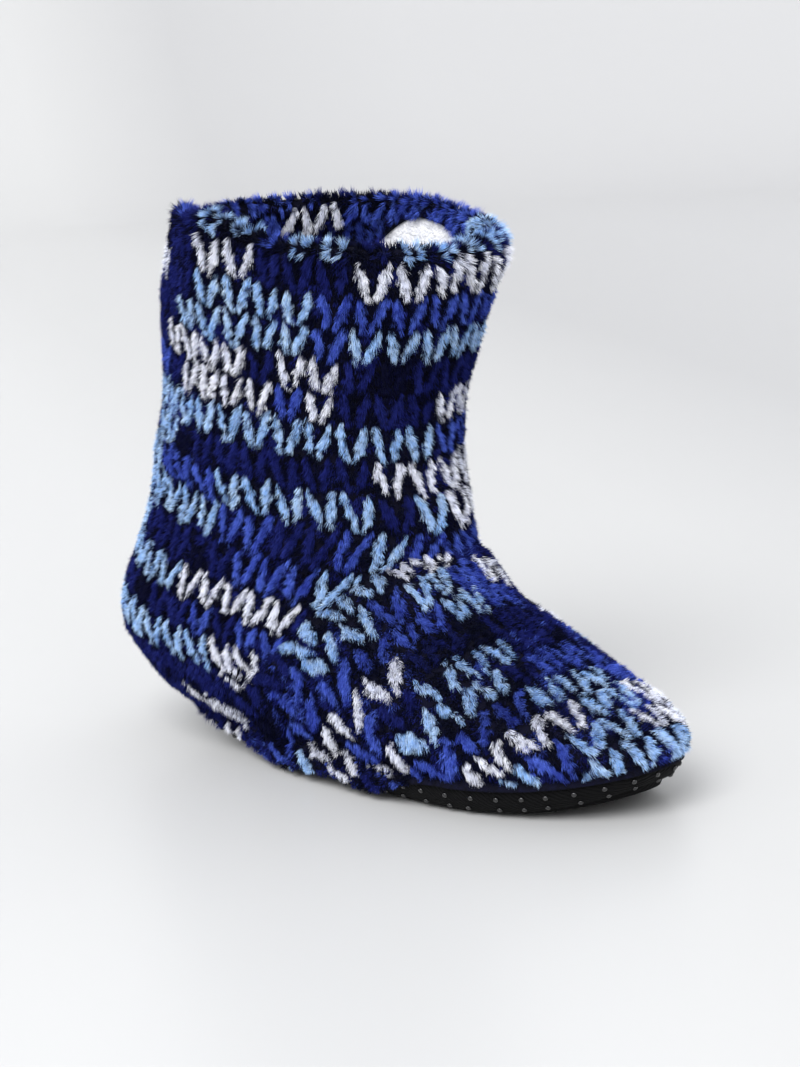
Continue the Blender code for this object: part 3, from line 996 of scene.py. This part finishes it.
edge = section_ring(SECTIONS[0], SOLE_COLUMNS)
side_rings = []
for mark in np.linspace(0, len(SOLE_SIDE) - 1.0, 15):
    inset, drop = (np.interp(mark, range(len(SOLE_SIDE)), values) for values in zip(*SOLE_SIDE))
    pucker = PUCKER * math.exp(-(drop / 0.35)**2) * np.sin(PUCKER_COUNT * full_turn(SOLE_COLUMNS))
    ring = inset_ring(edge, SOLE_MARGIN + SOLE_TUCK * inset + pucker[:, None])
    ring[:, 2] = edge[:, 2] - (SOLE_THICKNESS - DOT_STAND - curl(edge[:, 0])) * drop
    side_rings.append(ring)
sole_pad = pad_object("padded_sole", side_rings, lambda ring, share: sole_top(ring[:, 0]),
                      lambda ring, share: floor_level(ring[:, 0]),
                      (1.0, 0.8, 0.6, 0.4, 0.2, 0.08, 0.0),
                      new_material("black ribbed cloth", ribbed_cloth))

# %% [markdown]
# ## Grip dots
#
# The sole has small glossy dots of rubber in staggered rows, under the foot and up the side. One
# dome is modelled, and Geometry Nodes sets it on every point.

# %% Dots
DOT_PITCH, DOT_RADIUS, DOT_SUNK, DOT_SIDES, EDGE_SPACE = 9.5, 1.05 * MM, 0.1 * MM, 10, 3


def dot_template():
    """A dome of three rings and a top, its foot sunk a little into the cloth."""
    domed = [(DOT_RADIUS * math.sqrt(1 - rise**2), rise * DOT_STAND) for rise in (0.5, 0.85)]
    points = lathe([(DOT_RADIUS, -DOT_SUNK), *domed], DOT_SIDES) + [(0, 0, DOT_STAND)]
    last, top = 2 * DOT_SIDES, 3 * DOT_SIDES
    faces = ring_faces(3, DOT_SIDES)
    faces += [(last + n, last + (n + 1) % DOT_SIDES, top) for n in range(DOT_SIDES)]
    return mesh_object("dot", points, [*faces, tuple(range(DOT_SIDES))[::-1]], smooth=True)


def dot_tree():
    tree, given = new_tree("set dots", {"Dot": "Object", "Finish": "Material"})
    info = node(tree, "GeometryNodeObjectInfo", {"Object": given["Dot"]})
    dots = {"Points": given["Geometry"], "Instance": info["Geometry"],
            "Rotation": facing(tree, "out")}
    dots = node(tree, "GeometryNodeInstanceOnPoints", dots)["Instances"]
    return finished(tree, real(tree, dots), given["Finish"])


def dot_places():
    """Staggered points under the sole and up its side, with the way each faces."""
    places, outs = [], []
    bottom = side_rings[-1][:, :2] / MM
    marks = np.arange(bottom[:, 0].min() + 4, bottom[:, 0].max() - EDGE_SPACE, DOT_PITCH * 0.5)
    for step, x in enumerate(marks):
        near = bottom[abs(bottom[:, 0] - x) < 3.0, 1]
        low_y, high_y = near.min() + EDGE_SPACE, near.max() - EDGE_SPACE
        first = math.ceil(low_y / DOT_PITCH) * DOT_PITCH + (0.5 * DOT_PITCH if step % 2 else 0.0)
        for y in np.arange(first - DOT_PITCH, high_y, DOT_PITCH):
            if y > low_y:
                places.append((x * MM, y * MM, floor_level(x * MM)))
                outs.append((0.0, 0.0, -1.0))
    normals = outward(np.stack(side_rings[::-1]))[::-1]
    for level, offset in ((4, 0.0), (9, 0.5)):
        ring = side_rings[level]
        run = np.concatenate([[0], np.cumsum(lengths(np.diff(ring, axis=0)))]) / MM
        for mark in np.arange(offset * DOT_PITCH, run[-1], DOT_PITCH):
            n = int(np.argmin(abs(run - mark)))
            places.append(ring[n])
            outs.append(normals[level][n])
    return places, np.array(outs)


def rubber(tree):
    colour = ramp(tree, noise(tree, 900.0), [(0.3, "08080a"), (0.7, "121216")])
    return {"Base Color": colour, "Roughness": 0.22, "Coat Weight": 0.4}


places, outs = dot_places()
dot = dot_template()
dots = grown("grip_dots", places, {"out": outs}, dot_tree(),
             {"Dot": dot, "Finish": new_material("grip rubber", rubber)})
bpy.data.objects.remove(dot, do_unlink=True)
print(f"{len(places)} dots, {len(dots.data.polygons)} faces")

# %% [markdown]
# ## The insole
#
# A thin pad of the same fleece, fullest in the middle, lies on the sole.

# %% Insole
INSOLE_THICKNESS, INSOLE_INSET, INSOLE_GAP = 4 * MM, 4.2 * MM, 0.4 * MM


def insole_bottom(ring, share):
    return sole_top(ring[:, 0]) + INSOLE_GAP


def insole_top(ring, share):
    crown = INSOLE_THICKNESS * (0.75 + 0.25 * min(1.0, share * 4.0))
    return insole_bottom(ring, share) + crown + wobble(ring / MM, 14.0, 9) * 0.2 * MM


insole_side = []
for rise, inset in ((0.75, 0.5), (0.5, 0.0), (0.25, 0.1), (0.0, 0.6)):
    ring = inset_ring(inset_ring(edge, INSOLE_INSET), inset * MM)
    ring[:, 2] = edge[:, 2] + INSOLE_GAP + INSOLE_THICKNESS * rise
    insole_side.append(ring)
insole_pad = pad_object("fleece_insole", insole_side, insole_top, insole_bottom,
                        (1.0, 0.85, 0.7, 0.55, 0.4, 0.25, 0.12, 0.05, 0.0), fleece)

# %% [markdown]
# ## Floor, light and camera
#
# A broad sun from the outer side lights the pale floor and the slipper. A weak one, a round
# lamp ahead of the toe and the pale world fill the shadows. The floor's colour carries painted
# shade that darkens it along one direction. The camera has the angle, the roll and the reach
# that the photo's outline asks for.

# %% Stage
FLOOR_RADIUS, SWEEP, WALL_TOP, FLOOR_SIDES = 2.4, 0.7, 1.1, 96
PAINTED_SHADE_RUN = (0.30, 0.56, 0.0)
# Painted shade on the floor: its colour darkens along one direction.
FLOOR_PAINTED_SHADE = ((0.42, "c1c1c1"), (0.5, "bfbfbf"), (0.56, "bababa"), (0.66, "b8b8b8"),
                (0.8, "aaaaab"), (1.0, "afafb0"))
WORLD_COLOUR, WORLD_STRENGTH = (0.95, 0.97, 1.0, 1.0), 0.94


def floor_with_painted_shade(tree):
    """Painted shade: the colour darkens a little along one direction."""
    run = {0: spot(tree), 1: PAINTED_SHADE_RUN}
    run = node(tree, "ShaderNodeVectorMath", run, operation="DOT_PRODUCT")["Value"]
    run = node(tree, "ShaderNodeMath", {0: run, 1: 0.5})["Value"]
    return {"Base Color": ramp(tree, run, FLOOR_PAINTED_SHADE), "Roughness": 0.38,
            "Specular IOR Level": 0.3}


def make_floor():
    """A round floor that sweeps up into a low wall, so that no horizon shows."""
    profile = [(FLOOR_RADIUS * share, 0.0) for share in (0.05, 0.2, 0.5, 1.0)]
    profile += [(FLOOR_RADIUS + SWEEP * math.sin(turn), SWEEP * (1 - math.cos(turn)))
                for turn in np.linspace(0, np.pi / 2, 12)[1:]]
    profile.append((FLOOR_RADIUS + SWEEP, WALL_TOP))
    faces = [tuple(range(FLOOR_SIDES))]
    faces += [face[:1] + face[:0:-1] for face in ring_faces(len(profile), FLOOR_SIDES)]
    return mesh_object("floor", lathe(profile, FLOOR_SIDES), faces,
                       new_material("pale floor", floor_with_painted_shade), True)


def make_lamp(name, kind, place, aim, power, **settings):
    lamp = bpy.data.lights.new(name, kind)
    lamp.energy = power
    for key, value in settings.items():
        setattr(lamp, key, value)
    made = placed(name, lamp)
    made.location = place
    made.rotation_euler = (Vector(aim) - Vector(place)).to_track_quat("-Z", "Y").to_euler()


make_floor()
world = bpy.data.worlds.new("studio")
world.use_nodes = True
fill(world.node_tree, world.node_tree.nodes["Background"],
     {"Color": WORLD_COLOUR, "Strength": WORLD_STRENGTH})
bpy.context.scene.world = world
make_lamp("key", "SUN", (0.30, -0.80, 0.90), (0, 0, 0), 3.2, angle=math.radians(40.0))
make_lamp("fill", "SUN", (-0.5, 0.7, 0.8), (0, 0, 0), 0.5, angle=math.radians(70.0))
make_lamp("side", "AREA", (1.5, -0.5, 0.7), (0.04, 0.0, 0.1), 5.0, shape="DISK", size=0.9)
bpy.context.scene.view_settings.view_transform = "Standard"

# %% Camera
AZIMUTH, ELEVATION, ROLL = math.radians(47.65), math.radians(11.48), math.radians(-3.48)
TARGET, DISTANCE = (54.2 * MM, 0.0, 83.1 * MM), 920.4 * MM
FOCAL_PIXELS, PHOTO_HEIGHT, SENSOR = 2653.4, 1067, 36.0

turned = (Matrix.Rotation(AZIMUTH, 4, "Z") @ Matrix.Rotation(0.5 * math.pi - ELEVATION, 4, "X")
          @ Matrix.Rotation(ROLL, 4, "Z"))
camera_data = bpy.data.cameras.new("photo camera")
camera_data.sensor_width = SENSOR
camera_data.lens = FOCAL_PIXELS * SENSOR / PHOTO_HEIGHT
camera_data.clip_end = 100.0
camera = placed("photo camera", camera_data)
camera.matrix_world = Matrix.Translation(TARGET) @ turned @ Matrix.Translation((0, 0, DISTANCE))
bpy.context.scene.camera = camera
print(f"lens {camera_data.lens:.1f} mm")

# %% [markdown]
# ## What each piece stands for
#
# Every piece rides on the one body and replaces the CAD solid that it stands for. The sole and
# the insole are padded.

# %% Declarations
for piece in pile + [upper_cloth, facing_cloth, lining, sole_pad, dots, insole_pad]:
    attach(piece, "root")
for piece in pile[1:] + [upper_cloth]:
    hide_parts("upper")
for piece in (pile[0], facing_cloth):
    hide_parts("collar_facing")
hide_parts("sole")
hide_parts("insole")

# %% Finish
bpy.context.view_layer.update()
